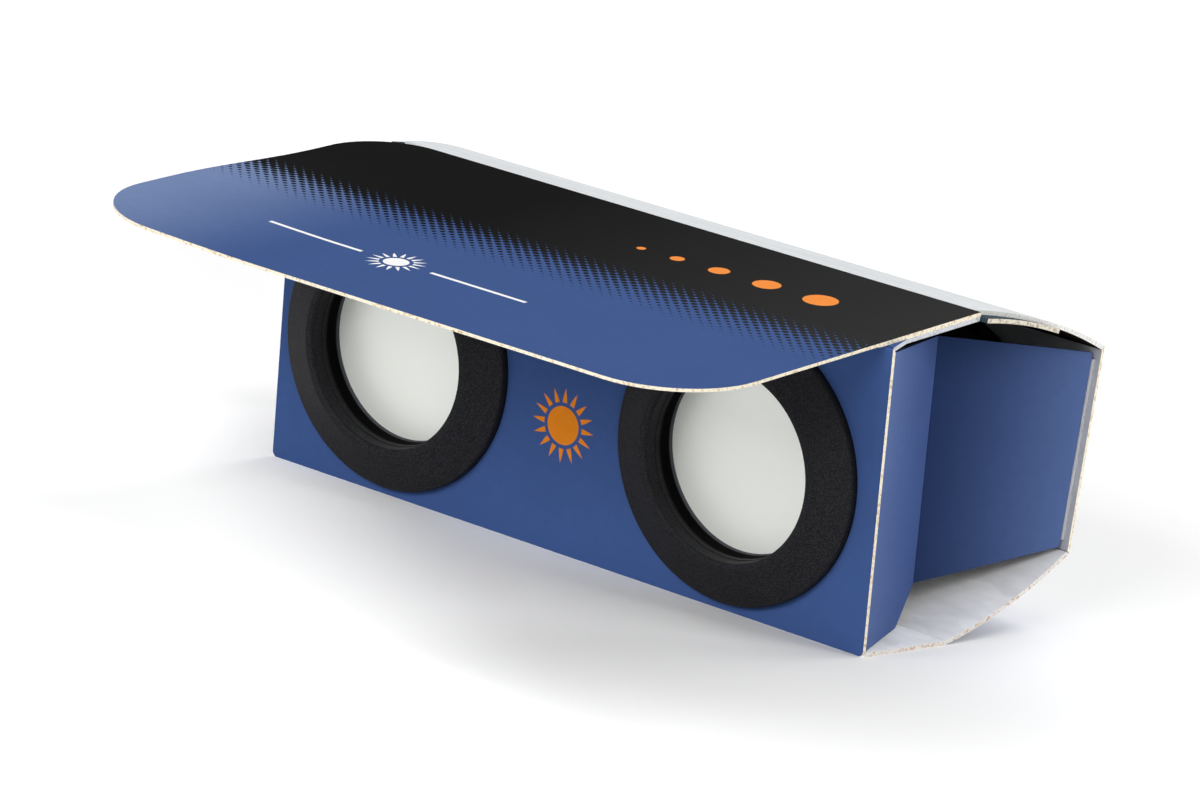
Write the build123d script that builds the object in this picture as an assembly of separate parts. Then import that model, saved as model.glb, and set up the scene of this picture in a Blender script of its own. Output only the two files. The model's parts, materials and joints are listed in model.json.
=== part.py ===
from build123d import *
from math import atan2, cos, degrees, radians, sin, tan
import os

# Folding solar viewer: a die-cut carton body with a cover flap, two moulded
# objective mounts and two moulded eyepiece mounts. Millimetres and degrees.
# The carton is one strip of board: the flap's brim and base, the top back leaf,
# the back panel, two bottom leaves, the front panel, the top front leaf, and the
# seam flap, glued under the top back leaf.
# The body is drawn in the front panel's frame: X to the viewer's right when
# looking at the lenses, Y from the front panel to the back panel, Z up, with
# the origin at the middle of the front panel's bottom edge.

# Carton board
board_thickness = 0.65
crease_gap = 0.1
loop_gap = 0.2
overrun = 5.0

# Lens pair: the spacing of the eyes, and its offset from the panel's middle
lens_spacing = 64.0
lens_pair_shift = -0.75

# Objective mount: bezel outside the panel, barrel through it
bezel_flange_width = 5.6
bezel_rim_height = 1.3
bezel_height = 3.4
bezel_edge_radius = 0.5
bezel_lip_width = 1.2
bezel_bore_inset = 0.35
bore_step_depth = 2.3
bore_step_width = 0.1
barrel_wall = 0.85
barrel_depth = 3.1
barrel_chamfer = 0.6
barrel_clearance = 0.15
ledge_cover = 0.6
ledge_front = 2.35
ledge_thickness = 0.25
filter_radius = 14.6
filter_clearance = 0.05
filter_thickness = 0.2
objective_radius = 12.6
objective_clearance = 0.05
objective_edge = 0.35
objective_bulge = 1.4
retaining_ring_wall = 0.6
retaining_ring_lip = 0.6
retaining_ring_thickness = 0.32
clamp_ring_width = 2.0
clamp_ring_thickness = 1.2
clamp_ring_clearance = 0.05

# Eyepiece mount on the back panel
eye_lens_radius = 9.3
eye_lens_clearance = 0.05
eye_lens_edge = 1.7
eye_lens_hollow = 0.9
eye_lens_land = 0.9
eye_ledge_depth = 0.4
eye_ledge_cover = 0.7
eye_barrel_wall = 1.0
eyepiece_flange_width = 2.65
eyepiece_flange_thickness = 1.4
eyepiece_edge_radius = 0.5
eye_ring_width = 2.0
eye_ring_thickness = 1.2
eye_ring_lip = 0.6

# Front panel, by its margins round the bezels
bezel_side_margin = 2.9
bezel_foot_margin = 1.47
bezel_top_margin = 2.03
front_corner_radius = 1.0

# Carton body behind the front panel
body_depth = 53.4
top_front_length = 22.6
top_front_angle = 0.5
top_back_bow_height = 1.3
back_top_margin = 0.6
back_foot_margin = 4.73
back_lean_angle = 6.3
bottom_front_length = 20.6
bottom_front_angle = 7.5
bottom_back_bow_height = 1.15

# Seam flap, and the relief of both roof leaves at their ends, widest at the ridge
seam_depth = 19.2
seam_relief = 2.6
roof_relief = 1.3
roof_relief_depth = 5.0

# Cover flap, glued on the top front leaf and reaching over the lenses
flap_left_overhang = 3.1
flap_right_inset = 1.3
flap_overhang = 44.5
flap_corner_radius = 14.5
flap_back_corner_radius = 11.0

# Side gussets, each a strip with two glued tabs and two leaves
gusset_thickness = 0.5
gusset_edge_inset = 0.1
gusset_back_inset = 0.8
gusset_fold_depth = 10.0
gusset_top_front_margin = 0.85
gusset_top_back_margin = 0.8
gusset_foot_clearance = 0.2
gusset_foot_reach = 17.5
gusset_foot_radius = 2.2
gusset_notch_height = 2.6
gusset_back_foot_margin = 1.1
tab_clearance = 0.4
tab_end_inset = 1.6

# Nose notch through the back panel and the bottom back leaf
nose_half_width = 13.0
nose_height = 16.0
nose_depth = 13.0
nose_shoulder_width_share = 0.62
nose_shoulder_rise_share = 0.72

# Objective mount, in depths behind the front panel's outer face
barrel_bore = filter_radius + filter_clearance
barrel_radius = barrel_bore + barrel_wall
bezel_radius = barrel_radius + bezel_flange_width
bezel_bore_radius = filter_radius - bezel_bore_inset
bore_waist_radius = bezel_bore_radius - bore_step_width
bore_step = bore_step_depth - bezel_height
ledge_radius = filter_radius - ledge_cover
filter_seat = ledge_front + ledge_thickness
objective_seat = filter_seat + filter_thickness
lens_rim = objective_seat + objective_edge
clamp_ring_bore = barrel_radius + clamp_ring_clearance
clamp_ring_radius = clamp_ring_bore + clamp_ring_width

# Eyepiece mount, in depths in front of the back panel's outer face
eye_barrel_bore = eye_lens_radius + eye_lens_clearance
eye_barrel_radius = eye_barrel_bore + eye_barrel_wall
eye_barrel_depth = eye_ledge_depth + eye_lens_edge
eye_bore_radius = eye_lens_radius - eye_ledge_cover
eyepiece_radius = eye_barrel_radius + eyepiece_flange_width
eye_ring_bore = eye_barrel_radius + clamp_ring_clearance
eye_ring_radius = eye_ring_bore + eye_ring_width

# Front panel
panel_width = lens_spacing + 2 * (bezel_radius + bezel_side_margin)
half_width = panel_width / 2
lens_height = bezel_foot_margin + bezel_radius
front_height = lens_height + bezel_radius + bezel_top_margin
lens_x = {
    "right": lens_pair_shift + lens_spacing / 2,
    "left": lens_pair_shift - lens_spacing / 2,
}
tab_reach = max(abs(x) for x in lens_x.values()) + clamp_ring_radius + tab_clearance
tab_width = half_width - gusset_edge_inset - tab_reach


def step(length, angle):
    """A section vector of this length, at this angle above the backward direction."""
    return Vector(length * cos(radians(angle)), length * sin(radians(angle)))


def right_normal(start, end):
    """The unit vector to the right of the way from start to end."""
    way = (end - start).normalized()
    return Vector(way.Y, -way.X)


def inner_corner(before, corner, after, thickness):
    """Where the inner surfaces of the two boards that meet at a corner cross."""
    first = right_normal(before, corner)
    second = right_normal(corner, after)
    return corner + (first + second) * (thickness / (1 + first.dot(second)))


# Corners of the body's section, in (y, z), on the boards' outer faces. At the
# top the strip's two ends lie double: ridge is the upper layer's corner, and
# peak is the lower layer's.
front_bottom = Vector(0, 0)
front_top = Vector(0, front_height)
flap_crease = front_top + step(board_thickness, top_front_angle + 90)
brim_edge = flap_crease - step(flap_overhang, top_front_angle)
ridge = flap_crease + step(top_front_length, top_front_angle)
back_top = Vector(body_depth, lens_height + eyepiece_radius + back_top_margin)
back_foot_height = lens_height - eyepiece_radius - back_foot_margin
back_fall = back_top.Y - back_foot_height
back_bottom = back_top - Vector(back_fall * tan(radians(back_lean_angle)), back_fall)
keel = step(bottom_front_length, -bottom_front_angle)
peak = inner_corner(flap_crease, ridge, back_top, board_thickness)
back_top_inside = inner_corner(ridge, back_top, back_bottom, board_thickness)


def set_back(point, corner, inner, way, gap):
    """A point of a board's end, moved along the board to leave half of a gap."""
    mitre = (inner - corner).normalized()
    across = abs(way.cross(mitre).Z)
    return point + way * (gap / 2 / across)


def board_corners(before, start, end, after, thickness, start_gap, end_gap):
    """A board's four section corners between two creases, mitred to its neighbours."""
    start_inner = inner_corner(before, start, end, thickness)
    end_inner = inner_corner(start, end, after, thickness)
    way = (end - start).normalized()
    return [
        set_back(start, start, start_inner, way, start_gap),
        set_back(end, end, end_inner, way * -1, end_gap),
        set_back(end_inner, end, end_inner, way * -1, end_gap),
        set_back(start_inner, start, start_inner, way, start_gap),
    ]


def board_section(corners, bow=0):
    """A board's section: straight, or bowed towards its outer side."""
    outer_start, outer_end, inner_end, inner_start = corners
    if bow == 0:
        return make_face(Polyline(*corners, close=True))
    outward = right_normal(outer_start, outer_end) * -bow
    outer_middle = (outer_start + outer_end) / 2 + outward
    inner_middle = (inner_start + inner_end) / 2 + outward
    edges = [
        ThreePointArc(outer_start, outer_middle, outer_end),
        Line(outer_end, inner_end),
        ThreePointArc(inner_end, inner_middle, inner_start),
        Line(inner_start, outer_start),
    ]
    return make_face(edges)


def across_body(outline, width=panel_width):
    """A section in (y, z), extruded over the body's width."""
    return extrude(Plane.YZ * outline, width / 2, both=True)


def body_board(before, start, end, after, bow=0, start_gap=crease_gap):
    """One board of the carton, from one corner of the section to the next."""
    corners = board_corners(before, start, end, after, board_thickness, start_gap, crease_gap)
    return across_body(board_section(corners, bow))


def along_y(radius, start, end, x, z):
    """A cylinder along Y, from one depth to another."""
    return Pos(x, start, z) * extrude(Plane.XZ * Circle(radius), start - end)


def turned(points, rounded=(), radius=0):
    """A ring about the Y axis from an outline in (radius, y), some corners rounded."""
    outline = make_face(Polyline(*points, close=True))
    for corner in rounded:
        outline = fillet(outline.vertices().sort_by_distance((*corner, 0))[0], radius)
    return revolve(outline, Axis.Y)


def front_panel():
    """The front wall: two lens holes, and bottom corners that are slightly rounded."""
    outline = Plane.XZ * (Pos(0, front_height / 2) * Rectangle(panel_width, front_height))
    lower = outline.vertices().group_by(Axis.Z)[0]
    outline = fillet(lower, front_corner_radius)
    panel = body_board(keel, front_bottom, front_top, peak)
    panel = panel & extrude(outline, overrun, both=True)
    hole_radius = barrel_radius + barrel_clearance
    for x in lens_x.values():
        panel -= along_y(hole_radius, -overrun, overrun, x, lens_height)
    return panel


def cap_radius(radius, height):
    """The radius of the sphere that has a cap of this radius and height."""
    return (radius * radius + height * height) / (2 * height)


def cap_height(radius, base_radius, height):
    """How far a cap of this base and height rises above its base at a radius."""
    curve = cap_radius(base_radius, height)
    return height - curve + (curve * curve - radius * radius) ** 0.5


# The retaining ring: a flange behind the filter, and a hub with a lip round the lens
ring_bore = objective_radius + objective_clearance
ring_hub = ring_bore + retaining_ring_wall
ring_lip = objective_radius - retaining_ring_lip
ring_seat = lens_rim + cap_height(ring_lip, objective_radius, objective_bulge)
ring_back = ring_seat + retaining_ring_thickness


def objective_bezel():
    """The moulded bezel: rim, cone face, deep stepped bore, ledge and chamfered barrel."""
    rim = (bezel_radius, -bezel_rim_height)
    lip = (bezel_bore_radius + bezel_lip_width, -bezel_height)
    mouth = (bezel_bore_radius, -bezel_height)
    points = [
        (barrel_radius - barrel_chamfer, barrel_depth),
        (barrel_radius, barrel_depth - barrel_chamfer),
        (barrel_radius, 0),
        (bezel_radius, 0),
        rim,
        lip,
        mouth,
        (bezel_bore_radius, bore_step),
        (bore_waist_radius, bore_step),
        (bore_waist_radius, ledge_front),
        (ledge_radius, ledge_front),
        (ledge_radius, filter_seat),
        (barrel_bore, filter_seat),
        (barrel_bore, barrel_depth),
    ]
    return turned(points, [rim, lip, mouth], bezel_edge_radius)


def solar_filter():
    """The round filter sheet that lies against the bezel's ledge."""
    return along_y(filter_radius, filter_seat, objective_seat, 0, 0)


def objective_lens():
    """A plano-convex lens with its flat side on the filter."""
    back = lens_rim + objective_bulge
    blank = along_y(objective_radius, objective_seat, back, 0, 0)
    curve = cap_radius(objective_radius, objective_bulge)
    return blank & Pos(0, back - curve, 0) * Sphere(curve)


def lens_retaining_ring():
    """The ring pressed into the barrel: it holds the filter's edge and carries the lens."""
    points = [
        (ring_bore, objective_seat),
        (filter_radius, objective_seat),
        (filter_radius, barrel_depth),
        (ring_hub, barrel_depth),
        (ring_hub, ring_back),
        (ring_lip, ring_back),
        (ring_lip, ring_seat),
        (ring_bore, ring_seat),
    ]
    return turned(points)


def bezel_clamp_ring():
    """The ring on the barrel that clamps the panel against the bezel."""
    points = [
        (clamp_ring_bore, board_thickness),
        (clamp_ring_radius, board_thickness),
        (clamp_ring_radius, board_thickness + clamp_ring_thickness),
        (clamp_ring_bore, board_thickness + clamp_ring_thickness),
    ]
    return turned(points)


def eyepiece_bezel():
    """The outer moulding: rounded flange, eye bore, ledge and short barrel."""
    rim = (eyepiece_radius, eyepiece_flange_thickness)
    mouth = (eye_bore_radius, eyepiece_flange_thickness)
    points = [
        (eye_barrel_radius, -eye_barrel_depth),
        (eye_barrel_radius, 0),
        (eyepiece_radius, 0),
        rim,
        mouth,
        (eye_bore_radius, -eye_ledge_depth),
        (eye_barrel_bore, -eye_ledge_depth),
        (eye_barrel_bore, -eye_barrel_depth),
    ]
    return turned(points, [rim, mouth], eyepiece_edge_radius)


def eyepiece_lens():
    """A plano-concave lens, hollow towards the objective."""
    blank = along_y(eye_lens_radius, -eye_barrel_depth, -eye_ledge_depth, 0, 0)
    curve = cap_radius(eye_lens_radius - eye_lens_land, eye_lens_hollow)
    return blank - Pos(0, eye_lens_hollow - eye_barrel_depth - curve, 0) * Sphere(curve)


def eyepiece_clamp_ring():
    """The inner cap ring: clamps the back panel and keeps the lens in its bore."""
    flange_front = -board_thickness - eye_ring_thickness
    cap_rise = eye_ring_bore + eye_ring_lip
    points = [
        (eye_ring_radius, -board_thickness),
        (eye_ring_bore, -board_thickness),
        (eye_ring_bore, -eye_barrel_depth),
        (eye_bore_radius, -eye_barrel_depth),
        (eye_bore_radius, -eye_barrel_depth - eye_ring_lip),
        (cap_rise, -eye_barrel_depth - eye_ring_lip),
        (cap_rise, flange_front),
        (eye_ring_radius, flange_front),
    ]
    return turned(points)


# The optical axes cross the leaning back panel at the lens height
eye_depth = back_bottom.X + (lens_height - back_bottom.Y) * tan(radians(back_lean_angle))


def on_back_panel(x):
    """The place of an eyepiece: its Y axis is the back panel's outward normal."""
    return Pos(x, eye_depth, lens_height) * Rot(-back_lean_angle, 0, 0)


def nose_outline(height):
    """The notch's arch, from below the board's lower edge up to its round top."""
    shoulder = (nose_half_width * nose_shoulder_width_share, height * nose_shoulder_rise_share)
    half = [
        Line((0, -overrun), (nose_half_width, -overrun)),
        Line((nose_half_width, -overrun), (nose_half_width, 0)),
        Spline((nose_half_width, 0), shoulder, (0, height), tangents=[(0, 1), (-1, 0)]),
        Line((0, height), (0, -overrun)),
    ]
    right = make_face(half)
    return right + mirror(right, Plane.YZ)


def nose_cutter(height):
    """The notch's arch as a cutter along Y, standing on the lens pair's middle."""
    return extrude(Plane.XZ * nose_outline(height), overrun, both=True)


# The notch's place on the back panel's lower edge
nose_place = Pos(lens_pair_shift, back_bottom.X, back_bottom.Y) * Rot(-back_lean_angle, 0, 0)


def back_panel():
    """The eye side: two eyepiece holes and the nose notch, leaning back a little."""
    panel = body_board(ridge, back_top, back_bottom, keel)
    for x in lens_x.values():
        hole = along_y(eye_ring_bore, -overrun, overrun, 0, 0)
        panel -= on_back_panel(x) * hole
    return panel - nose_place * nose_cutter(nose_height)


def top_back_leaf():
    """The upper layer behind the ridge, its ends cut back towards the ridge."""
    leaf = body_board(flap_crease, ridge, back_top, back_bottom, bow=top_back_bow_height)
    relief = Polyline(
        (half_width - seam_relief, ridge.X - overrun),
        (half_width - seam_relief, ridge.X),
        (half_width, ridge.X + seam_depth),
        (half_width + overrun, ridge.X + seam_depth),
        (half_width + overrun, ridge.X - overrun),
        close=True,
    )
    cutter = extrude(make_face(relief), 2 * front_height)
    return leaf - cutter - mirror(cutter, Plane.YZ)


def top_front_leaf():
    """The lower layer before the ridge, its ends cut back behind the front crease."""
    leaf = body_board(front_bottom, front_top, peak, back_top_inside)
    relief = Polyline(
        (half_width, 0),
        (half_width - roof_relief, roof_relief_depth),
        (half_width - roof_relief, ridge.X + overrun),
        (half_width + overrun, ridge.X + overrun),
        (half_width + overrun, 0),
        close=True,
    )
    cutter = extrude(make_face(relief), 2 * front_height)
    return leaf - cutter - mirror(cutter, Plane.YZ)


def seam_flap():
    """The lower layer behind the ridge: the carton's glue flap, under the back leaf."""
    gap = crease_gap
    leaf = board_corners(flap_crease, ridge, back_top, back_bottom, board_thickness, gap, gap)
    start, end = leaf[3], leaf[2]
    way = (end - start).normalized()
    corner = inner_corner(front_top, peak, end, board_thickness)
    inner_start = set_back(corner, peak, corner, way, gap)
    inner_end = end + right_normal(start, end) * board_thickness
    section = board_section([start, end, inner_end, inner_start], top_back_bow_height)
    turn = degrees(atan2(way.Y, way.X))
    kept = Pos(peak.X, peak.Y) * Rot(0, 0, turn) * Rectangle(2 * seam_depth, 2 * seam_depth)
    return across_body(section & kept)


def bottom_back_leaf():
    """The rear bottom leaf, bowed outward, with the nose notch cut in its back edge."""
    leaf = body_board(
        back_top,
        back_bottom,
        keel,
        front_bottom,
        bow=bottom_back_bow_height,
        start_gap=loop_gap,
    )
    cutter = extrude(Plane.XY * nose_outline(nose_depth), overrun, both=True)
    slope = degrees(atan2(back_bottom.Y - keel.Y, back_bottom.X - keel.X))
    turn_forward = Rot(0, 0, 180)
    place = Pos(lens_pair_shift, back_bottom.X, back_bottom.Y) * Rot(slope, 0, 0)
    return leaf - place * turn_forward * cutter


def flap_outline():
    """The flap in plan: two round front corners, and one round back corner."""
    left = -half_width - flap_left_overhang
    right = half_width - flap_right_inset
    middle = (brim_edge.X + ridge.X) / 2
    length = ridge.X - brim_edge.X
    sheet = Pos((left + right) / 2, middle) * Rectangle(right - left, length)
    sheet = fillet(sheet.vertices().group_by(Axis.Y)[0], flap_corner_radius)
    back_left = sheet.vertices().group_by(Axis.Y)[-1].sort_by(Axis.X)[0]
    return fillet(back_left, flap_back_corner_radius)


def flap_board(before, start, end, after):
    """The part of the flap between two corners of its section."""
    corners = board_corners(before, start, end, after, board_thickness, crease_gap, crease_gap)
    board = across_body(board_section(corners), 2 * panel_width)
    return board & extrude(flap_outline(), 2 * front_height)


# Gusset fold lines in plan, on the outer surface of the right-hand strip
gusset_front_fold = Vector(half_width - gusset_edge_inset, board_thickness)
back_middle_depth = (back_top.X + back_bottom.X) / 2
back_middle_height = (back_top.Y + back_bottom.Y) / 2
gusset_back_depth = back_middle_depth - board_thickness / cos(radians(back_lean_angle))
gusset_back_fold = Vector(half_width - gusset_back_inset, gusset_back_depth)
gusset_run = gusset_back_fold - gusset_front_fold
gusset_middle_fold = (gusset_front_fold + gusset_back_fold) / 2 - Vector(gusset_fold_depth, 0)
gusset_tab_end = gusset_front_fold - Vector(tab_width, 0)
gusset_back_end = gusset_back_fold + gusset_run
gusset_top_front = front_top.Y - gusset_top_front_margin
gusset_top_back = back_top.Y - gusset_top_back_margin
gusset_back_foot = back_bottom.Y + gusset_back_foot_margin


def left_normal(start, end):
    """The unit vector to the left of the way from start to end."""
    return right_normal(start, end) * -1


def strip_outline(before, start, end, after, thickness):
    """The plan of one gusset board, its thickness to the left, mitred at its creases."""
    first = left_normal(before, start)
    along = left_normal(start, end)
    last = left_normal(end, after)
    start_inner = start + (first + along) * (thickness / (1 + first.dot(along)))
    end_inner = end + (along + last) * (thickness / (1 + along.dot(last)))
    way = (end - start).normalized()
    points = [
        set_back(start, start, start_inner, way, crease_gap),
        set_back(end, end, end_inner, way * -1, crease_gap),
        set_back(end_inner, end, end_inner, way * -1, crease_gap),
        set_back(start_inner, start, start_inner, way, crease_gap),
    ]
    return make_face(Polyline(*points, close=True))


def mirrored(solid, side):
    """The right-hand solid, or its mirror image for the left side."""
    return solid if side == "right" else mirror(solid, Plane.YZ)


def gusset_front_tab():
    """The glued tab behind the front panel's edge."""
    before = gusset_tab_end - Vector(tab_width, 0)
    plan = strip_outline(
        before, gusset_tab_end, gusset_front_fold, gusset_middle_fold, gusset_thickness
    )
    height = gusset_top_front - 2 * tab_end_inset
    return Pos(0, 0, tab_end_inset) * extrude(plan, height)


def gusset_top(depth):
    """The height of the gusset's sloping top edge at a depth."""
    share = (depth - gusset_front_fold.Y) / (gusset_back_fold.Y - gusset_front_fold.Y)
    return gusset_top_front + (gusset_top_back - gusset_top_front) * share


def side_view(points):
    """A cutter that keeps what lies inside an outline in (y, z)."""
    return across_body(make_face(Polyline(*points, close=True)), 2 * panel_width)


def gusset_front_leaf():
    """The front leaf: sloping top, low foot with a round corner, slanting cut behind."""
    plan = strip_outline(
        gusset_tab_end, gusset_front_fold, gusset_middle_fold, gusset_back_fold, gusset_thickness
    )
    fall = tan(radians(bottom_front_angle))
    floor_height = board_thickness / cos(radians(bottom_front_angle)) + gusset_foot_clearance
    reach = gusset_foot_reach
    far = gusset_middle_fold.Y
    outline = Polyline(
        (0, floor_height),
        (reach, floor_height - reach * fall),
        (far, gusset_notch_height),
        (far + overrun, gusset_notch_height),
        (far + overrun, gusset_top(far + overrun)),
        (0, gusset_top(0)),
        close=True,
    )
    face = make_face(outline)
    foot = face.vertices().sort_by_distance((reach, floor_height - reach * fall, 0))[0]
    face = fillet(foot, gusset_foot_radius)
    strip = Pos(0, 0, -overrun) * extrude(plan, front_height + overrun)
    return strip & across_body(face, 2 * panel_width)


def gusset_back_plan(height):
    """The back leaf's plan at a height, run past its fold on the leaning back panel."""
    lean = (height - back_middle_height) * tan(radians(back_lean_angle))
    fold = gusset_back_fold + Vector(0, lean)
    first = left_normal(gusset_front_fold, gusset_middle_fold)
    along = left_normal(gusset_middle_fold, fold)
    inner = gusset_middle_fold + (first + along) * (gusset_thickness / (1 + first.dot(along)))
    way = (fold - gusset_middle_fold).normalized()
    end = fold + way * overrun
    points = [
        set_back(gusset_middle_fold, gusset_middle_fold, inner, way, crease_gap),
        end,
        end + along * gusset_thickness,
        set_back(inner, gusset_middle_fold, inner, way, crease_gap),
    ]
    return Plane.XY.offset(height) * make_face(Polyline(*points, close=True))


def gusset_back_leaf():
    """The back leaf, a little twisted from its upright fold to the leaning back tab."""
    tab_face = (board_thickness + gusset_thickness) / cos(radians(back_lean_angle)) + loop_gap
    lean = tan(radians(back_lean_angle))
    top = gusset_top(back_top.X)
    rear_top = back_top.X - tab_face - (back_top.Y - top) * lean
    rear_foot = back_top.X - tab_face - (back_top.Y - gusset_back_foot) * lean
    near = gusset_middle_fold.Y
    keep = side_view(
        [
            (near - overrun, gusset_notch_height),
            (near, gusset_notch_height),
            (rear_foot, gusset_back_foot),
            (rear_top, gusset_top(rear_top)),
            (near - overrun, gusset_top(near - overrun)),
        ]
    )
    strip = loft([gusset_back_plan(-overrun), gusset_back_plan(front_height)], ruled=True)
    return strip & keep


def gusset_back_tab():
    """The glued tab inside the back panel's edge, leaning with the panel."""
    low_inner = inner_corner(back_top, back_bottom, keel, board_thickness)
    inside = right_normal(back_top, back_bottom) * gusset_thickness
    up = (back_top - back_bottom).normalized()
    low = low_inner + up * tab_end_inset
    high = back_top_inside - up * tab_end_inset
    section = make_face(Polyline(low, high, high + inside, low + inside, close=True))
    tab = extrude(Plane.YZ * section, tab_width)
    return Pos(half_width - gusset_back_inset - tab_width, 0, 0) * tab


def build_parts():
    """Every piece by name, in the front panel's frame."""
    parts = {
        "front_panel": front_panel(),
        "top_front_leaf": top_front_leaf(),
        "top_back_leaf": top_back_leaf(),
        "back_panel": back_panel(),
        "bottom_back_leaf": bottom_back_leaf(),
        "bottom_front_leaf": body_board(back_bottom, keel, front_bottom, front_top),
        "seam_flap": seam_flap(),
        "cover_flap_base": flap_board(brim_edge, flap_crease, ridge, back_top),
        "cover_flap_brim": flap_board(brim_edge * 2 - ridge, brim_edge, flap_crease, ridge),
    }
    for side, x in lens_x.items():
        at_front = Pos(x, 0, lens_height)
        at_back = on_back_panel(x)
        parts[f"objective_bezel_{side}"] = at_front * objective_bezel()
        parts[f"solar_filter_{side}"] = at_front * solar_filter()
        parts[f"objective_lens_{side}"] = at_front * objective_lens()
        parts[f"lens_retaining_ring_{side}"] = at_front * lens_retaining_ring()
        parts[f"bezel_clamp_ring_{side}"] = at_front * bezel_clamp_ring()
        parts[f"eyepiece_bezel_{side}"] = at_back * eyepiece_bezel()
        parts[f"eyepiece_lens_{side}"] = at_back * eyepiece_lens()
        parts[f"eyepiece_clamp_ring_{side}"] = at_back * eyepiece_clamp_ring()
        parts[f"gusset_front_tab_{side}"] = mirrored(gusset_front_tab(), side)
        parts[f"gusset_front_leaf_{side}"] = mirrored(gusset_front_leaf(), side)
        parts[f"gusset_back_leaf_{side}"] = mirrored(gusset_back_leaf(), side)
        parts[f"gusset_back_tab_{side}"] = mirrored(gusset_back_tab(), side)
    return parts


# The viewer stands on its bottom front leaf: that face becomes Z = 0, and the
# origin is the face's middle.
stand = Pos(0, -bottom_front_length / 2, 0) * Rot(bottom_front_angle, 0, 0)


def standing(point):
    """A section point (y, z) of the front panel's frame, as it stands."""
    place = (stand * Pos(0, point.X, point.Y)).position
    return f"{place.Y:.3f} {place.Z:.3f}"


def main():
    os.makedirs("parts", exist_ok=True)
    for name, solid in build_parts().items():
        export_step(stand * solid, f"parts/{name}.step")
    keel_inner = inner_corner(back_bottom, keel, front_bottom, board_thickness)
    peak_inner = inner_corner(front_top, peak, back_top_inside, board_thickness)
    folds = {
        "front_top": front_top,
        "peak": peak_inner,
        "back_top": back_top,
        "back_bottom": back_bottom,
        "keel": keel_inner,
        "front_bottom": front_bottom,
        "flap": flap_crease,
    }
    for name, point in folds.items():
        print("fold", name, standing(point))


main()
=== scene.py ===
import json
import math

import bpy
from mathutils import Matrix, Quaternion, Vector


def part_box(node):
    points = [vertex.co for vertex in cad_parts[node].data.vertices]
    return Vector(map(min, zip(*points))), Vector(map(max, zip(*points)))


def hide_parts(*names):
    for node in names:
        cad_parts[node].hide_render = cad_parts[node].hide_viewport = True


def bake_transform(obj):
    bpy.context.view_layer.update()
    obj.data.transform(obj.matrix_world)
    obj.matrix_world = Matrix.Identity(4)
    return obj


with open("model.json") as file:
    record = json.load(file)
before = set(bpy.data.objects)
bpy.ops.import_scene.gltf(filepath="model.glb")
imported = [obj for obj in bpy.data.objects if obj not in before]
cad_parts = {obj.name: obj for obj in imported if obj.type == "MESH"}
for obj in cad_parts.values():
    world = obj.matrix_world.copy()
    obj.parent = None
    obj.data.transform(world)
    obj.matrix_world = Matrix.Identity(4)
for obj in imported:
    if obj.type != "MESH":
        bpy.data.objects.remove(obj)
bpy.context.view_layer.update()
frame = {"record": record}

# View and studio
# The viewer stands on a plain white sweep in a white room. Three soft boxes light it: one
# above and behind, a wide one in front, and one high on the right.
mm = 0.001

# A long lens at the right front, a little above, and rolled, so that the viewer shows tilted
camera_place = Vector((524.6, -712.5, 199.0)) * mm
camera_target = Vector((5.57, -13.56, 24.76)) * mm
camera_roll = math.radians(9.55)
camera_lens = 184.6

bpy.ops.object.camera_add(location=camera_place)
camera = bpy.context.object
camera.name = "photo_camera"
camera.data.lens = camera_lens
camera.data.clip_start = 0.05
gaze = (camera_target - camera_place).to_track_quat("-Z", "Y")
camera.rotation_mode = "QUATERNION"
camera.rotation_quaternion = gaze @ Quaternion((0, 0, 1), camera_roll)
bpy.context.scene.camera = camera
bpy.context.scene.view_settings.view_transform = "Standard"

lamp_target = Vector((0, 0, 0.02))


def soft_box(name, place, width, height, power):
    """A soft box turned to the middle of the viewer, in metres and watts."""
    bpy.ops.object.light_add(type="AREA", location=place)
    lamp = bpy.context.object
    lamp.name = name
    lamp.data.shape = "RECTANGLE"
    lamp.data.size = width
    lamp.data.size_y = height
    lamp.data.energy = power
    lamp.rotation_mode = "QUATERNION"
    lamp.rotation_quaternion = (lamp_target - lamp.location).to_track_quat("-Z", "Y")


soft_box("top_soft_box", (0.1, 0.8, 1.0), 0.9, 0.9, 9.2)
soft_box("front_soft_box", (0.06, -1.1, 0.5), 0.9, 0.45, 10.5)
soft_box("right_soft_box", (0.95, 0.4, 0.68), 0.6, 0.6, 7.0)


def linear(hex_colour):
    """An sRGB hex colour as the linear colour that Blender's sockets take."""
    shares = [int(hex_colour[at:at + 2], 16) / 255 for at in (1, 3, 5)]
    return [s / 12.92 if s <= 0.04045 else ((s + 0.055) / 1.055) ** 2.4 for s in shares] + [1]


def add(tree, kind, settings=None):
    """Add a node. Its settings are properties and sockets: another node's output is linked
    to the socket, and a hex colour is made linear."""
    node = tree.nodes.new(kind)
    for key, value in (settings or {}).items():
        if isinstance(value, bpy.types.NodeSocket):
            tree.links.new(value, node.inputs[key])
        elif isinstance(key, str) and hasattr(node, key):
            setattr(node, key, value)
        elif isinstance(value, str):
            socket = node.inputs[key]
            socket.default_value = linear(value)[:len(socket.default_value)]
        else:
            node.inputs[key].default_value = value
    return node


def seen_directly(tree):
    """1 for the rays that show a surface to the eye, straight, in gloss or through glass."""
    path = add(tree, "ShaderNodeLightPath")
    straight = add(tree, "ShaderNodeMath",
                   {"operation": "MAXIMUM",
                    0: path.outputs["Is Camera Ray"], 1: path.outputs["Is Glossy Ray"]})
    seen = add(tree, "ShaderNodeMath",
               {"operation": "MAXIMUM",
                0: straight.outputs[0], 1: path.outputs["Is Transmission Ray"]})
    return seen.outputs[0]


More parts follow.
